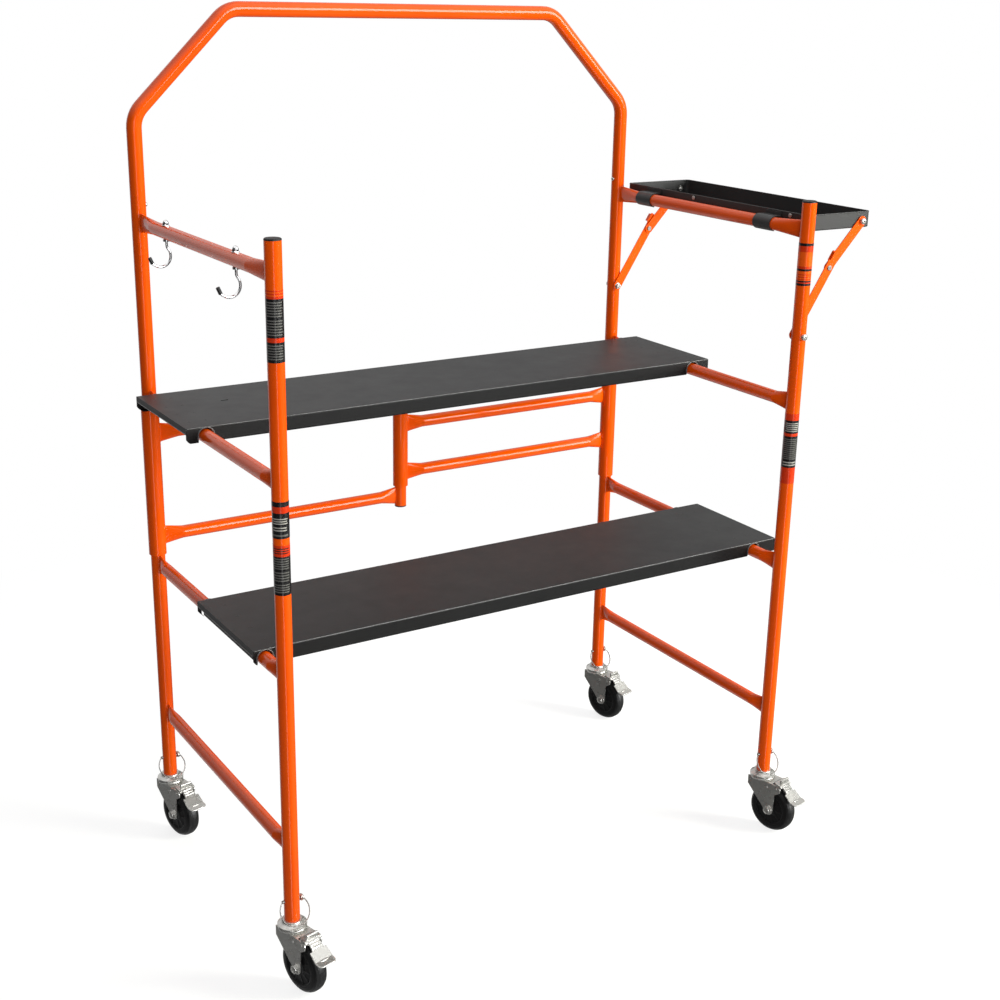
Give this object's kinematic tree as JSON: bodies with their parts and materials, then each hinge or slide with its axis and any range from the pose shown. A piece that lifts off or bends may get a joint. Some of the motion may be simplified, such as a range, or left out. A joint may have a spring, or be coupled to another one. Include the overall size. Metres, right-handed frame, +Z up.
{
  "type": "baker scaffold",
  "caption": "Small rolling baker scaffold: ladder end frames, bifold gate, sheet decks, guard rail, drop-down tool tray, hooks and braked swivel casters.",
  "frame": {"origin": "on the floor under the centre of the overall bounding box", "axes": "+Z up, +X along the length towards the tool tray end, +Y from the open front towards the gate side"},
  "size_m": [1.345, 0.7541, 1.7043],
  "materials": {
    "orange_powder_coat": "gloss",
    "charcoal_sheet": "satin",
    "black_satin_coat": "satin",
    "black_plastic": "matte",
    "zinc_plate": "satin",
    "chrome_plate": "polished",
    "black_rubber": "matte"
  },
  "bodies": {
    "right_frame": {"right_front_post": "orange_powder_coat", "right_rear_post": "orange_powder_coat", "right_rungs": "orange_powder_coat", "right_top_bar": "orange_powder_coat", "right_post_cap": "black_plastic", "right_caster_stems": "zinc_plate", "right_locking_pins": "zinc_plate", "brace_post_bolts": "zinc_plate"},
    "left_frame": {"left_front_post": "orange_powder_coat", "left_rear_post": "orange_powder_coat", "left_rungs": "orange_powder_coat", "left_top_bar": "orange_powder_coat", "left_post_cap": "black_plastic", "left_caster_stems": "zinc_plate", "left_locking_pins": "zinc_plate", "utility_hooks": "chrome_plate", "hook_nuts": "chrome_plate", "hook_tips": "black_plastic"},
    "right_gate": {"right_gate_post_sleeve": "orange_powder_coat", "right_gate_mid_sleeve": "orange_powder_coat", "right_gate_rails": "orange_powder_coat"},
    "left_gate": {"left_gate_post_sleeve": "orange_powder_coat", "left_gate_hinge_tube": "orange_powder_coat", "left_gate_rails": "orange_powder_coat", "hinge_tube_plugs": "black_plastic"},
    "upper_deck": {"upper_deck_panel": "charcoal_sheet", "upper_deck_saddles": "charcoal_sheet"},
    "lower_deck": {"lower_deck_panel": "charcoal_sheet", "lower_deck_saddles": "charcoal_sheet"},
    "guard": {"guard_rail": "orange_powder_coat"},
    "left_button": {"snap_button_left": "zinc_plate"},
    "right_button": {"snap_button_right": "zinc_plate"},
    "tray": {"tool_tray": "black_satin_coat", "tray_clips": "black_satin_coat", "tray_screws": "zinc_plate", "brace_tray_bolts": "zinc_plate"},
    "front_lower_link": {"front_brace_lower_link": "orange_powder_coat", "front_brace_rivet_head": "zinc_plate"},
    "front_upper_link": {"front_brace_upper_link": "orange_powder_coat", "front_brace_rivet_tail": "zinc_plate"},
    "rear_lower_link": {"rear_brace_lower_link": "orange_powder_coat", "rear_brace_rivet_head": "zinc_plate"},
    "rear_upper_link": {"rear_brace_upper_link": "orange_powder_coat", "rear_brace_rivet_tail": "zinc_plate"},
    "right_front_fork": {"right_front_caster_fork": "zinc_plate", "right_front_caster_axle": "zinc_plate"},
    "right_front_wheel": {"right_front_caster_wheel": "black_rubber"},
    "right_front_pedal": {"right_front_caster_pedal": "zinc_plate"},
    "right_rear_fork": {"right_rear_caster_fork": "zinc_plate", "right_rear_caster_axle": "zinc_plate"},
    "right_rear_wheel": {"right_rear_caster_wheel": "black_rubber"},
    "right_rear_pedal": {"right_rear_caster_pedal": "zinc_plate"},
    "left_front_fork": {"left_front_caster_fork": "zinc_plate", "left_front_caster_axle": "zinc_plate"},
    "left_front_wheel": {"left_front_caster_wheel": "black_rubber"},
    "left_front_pedal": {"left_front_caster_pedal": "zinc_plate"},
    "left_rear_fork": {"left_rear_caster_fork": "zinc_plate", "left_rear_caster_axle": "zinc_plate"},
    "left_rear_wheel": {"left_rear_caster_wheel": "black_rubber"},
    "left_rear_pedal": {"left_rear_caster_pedal": "zinc_plate"}
  },
  "joints": [
    {"name": "gate_fold", "type": "hinge", "parent": "right_frame", "child": "right_gate", "pos_m": [0.4853, 0.3505, 0.785], "axis": [0, 0, -1], "range_deg": [0, 80]},
    {"name": "gate_middle", "type": "hinge", "parent": "right_gate", "child": "left_gate", "pos_m": [-0.0747, 0.3505, 0.78], "axis": [0, 0, 1], "range_deg": [0, 160]},
    {"name": "left_frame_swing", "type": "hinge", "parent": "left_gate", "child": "left_frame", "pos_m": [-0.6347, 0.3505, 0.785], "axis": [0, 0, -1], "range_deg": [0, 80]},
    {"name": "upper_deck_tilt", "type": "hinge", "parent": "right_frame", "child": "upper_deck", "pos_m": [0.4853, 0.1809, 0.9575], "axis": [0, 1, 0], "range_deg": [0, 28.5]},
    {"name": "lower_deck_tilt", "type": "hinge", "parent": "right_frame", "child": "lower_deck", "pos_m": [0.4853, -0.0571, 0.6125], "axis": [0, 1, 0], "range_deg": [0, 28.5]},
    {"name": "guard_rail_lift", "type": "slide", "parent": "right_frame", "child": "guard", "axis": [0, 0, 1], "range_m": [0, 0.7]},
    {"name": "left_button_press", "type": "slide", "parent": "guard", "child": "left_button", "axis": [-1, 0, 0], "range_m": [0, 0.0052]},
    {"name": "right_button_press", "type": "slide", "parent": "guard", "child": "right_button", "axis": [1, 0, 0], "range_m": [0, 0.0052]},
    {"name": "tray_fold", "type": "hinge", "parent": "right_frame", "child": "tray", "pos_m": [0.4853, 0.0379, 1.303], "axis": [0, 1, 0], "range_deg": [0, 80]},
    {"name": "front_lower_link_swing", "type": "hinge", "parent": "right_frame", "child": "front_lower_link", "pos_m": [0.4853, -0.2588, 1.094], "axis": [0, 1, 0], "range_deg": [0, 52]},
    {"name": "front_upper_link_swing", "type": "hinge", "parent": "tray", "child": "front_upper_link", "pos_m": [0.6483, -0.2561, 1.3084], "axis": [0, -1, 0], "range_deg": [0, 200]},
    {"name": "rear_lower_link_swing", "type": "hinge", "parent": "right_frame", "child": "rear_lower_link", "pos_m": [0.4853, 0.3346, 1.094], "axis": [0, 1, 0], "range_deg": [0, 52]},
    {"name": "rear_upper_link_swing", "type": "hinge", "parent": "tray", "child": "rear_upper_link", "pos_m": [0.6483, 0.3319, 1.3084], "axis": [0, -1, 0], "range_deg": [0, 200]},
    {"name": "right_front_swivel", "type": "hinge", "parent": "right_frame", "child": "right_front_fork", "pos_m": [0.4853, -0.2747, 0.11], "axis": [0, 0, 1], "continuous": true},
    {"name": "right_front_roll", "type": "hinge", "parent": "right_front_fork", "child": "right_front_wheel", "pos_m": [0.49328, -0.30672, 0.052], "axis": [0.9703, 0.2419, 0], "continuous": true},
    {"name": "right_front_brake", "type": "hinge", "parent": "right_front_fork", "child": "right_front_pedal", "pos_m": [0.4974, -0.32321, 0.108], "axis": [0.9703, 0.2419, 0], "range_deg": [0, 12]},
    {"name": "right_rear_swivel", "type": "hinge", "parent": "right_frame", "child": "right_rear_fork", "pos_m": [0.4853, 0.3505, 0.11], "axis": [0, 0, 1], "continuous": true},
    {"name": "right_rear_roll", "type": "hinge", "parent": "right_rear_fork", "child": "right_rear_wheel", "pos_m": [0.49328, 0.31848, 0.052], "axis": [0.9703, 0.2419, 0], "continuous": true},
    {"name": "right_rear_brake", "type": "hinge", "parent": "right_rear_fork", "child": "right_rear_pedal", "pos_m": [0.4974, 0.30199, 0.108], "axis": [0.9703, 0.2419, 0], "range_deg": [0, 12]},
    {"name": "left_front_swivel", "type": "hinge", "parent": "left_frame", "child": "left_front_fork", "pos_m": [-0.6347, -0.2747, 0.11], "axis": [0, 0, 1], "continuous": true},
    {"name": "left_front_roll", "type": "hinge", "parent": "left_front_fork", "child": "left_front_wheel", "pos_m": [-0.62672, -0.30672, 0.052], "axis": [0.9703, 0.2419, 0], "continuous": true},
    {"name": "left_front_brake", "type": "hinge", "parent": "left_front_fork", "child": "left_front_pedal", "pos_m": [-0.6226, -0.32321, 0.108], "axis": [0.9703, 0.2419, 0], "range_deg": [0, 12]},
    {"name": "left_rear_swivel", "type": "hinge", "parent": "left_frame", "child": "left_rear_fork", "pos_m": [-0.6347, 0.3505, 0.11], "axis": [0, 0, 1], "continuous": true},
    {"name": "left_rear_roll", "type": "hinge", "parent": "left_rear_fork", "child": "left_rear_wheel", "pos_m": [-0.62672, 0.31848, 0.052], "axis": [0.9703, 0.2419, 0], "continuous": true},
    {"name": "left_rear_brake", "type": "hinge", "parent": "left_rear_fork", "child": "left_rear_pedal", "pos_m": [-0.6226, 0.30199, 0.108], "axis": [0.9703, 0.2419, 0], "range_deg": [0, 12]}
  ],
  "couplings": [
    {"joint": "gate_middle", "follows": "gate_fold", "ratio": 2},
    {"joint": "left_frame_swing", "follows": "gate_fold", "ratio": 1},
    {"joint": "upper_deck_tilt", "follows": "gate_fold", "ratio": 0.35},
    {"joint": "lower_deck_tilt", "follows": "gate_fold", "ratio": 0.35},
    {"joint": "guard_rail_lift", "follows": "gate_fold", "m_per_rad": 0.5},
    {"joint": "front_lower_link_swing", "follows": "tray_fold", "ratio": 0.62922},
    {"joint": "front_upper_link_swing", "follows": "tray_fold", "ratio": 2.4791},
    {"joint": "rear_lower_link_swing", "follows": "tray_fold", "ratio": 0.62922},
    {"joint": "rear_upper_link_swing", "follows": "tray_fold", "ratio": 2.4791}
  ]
}
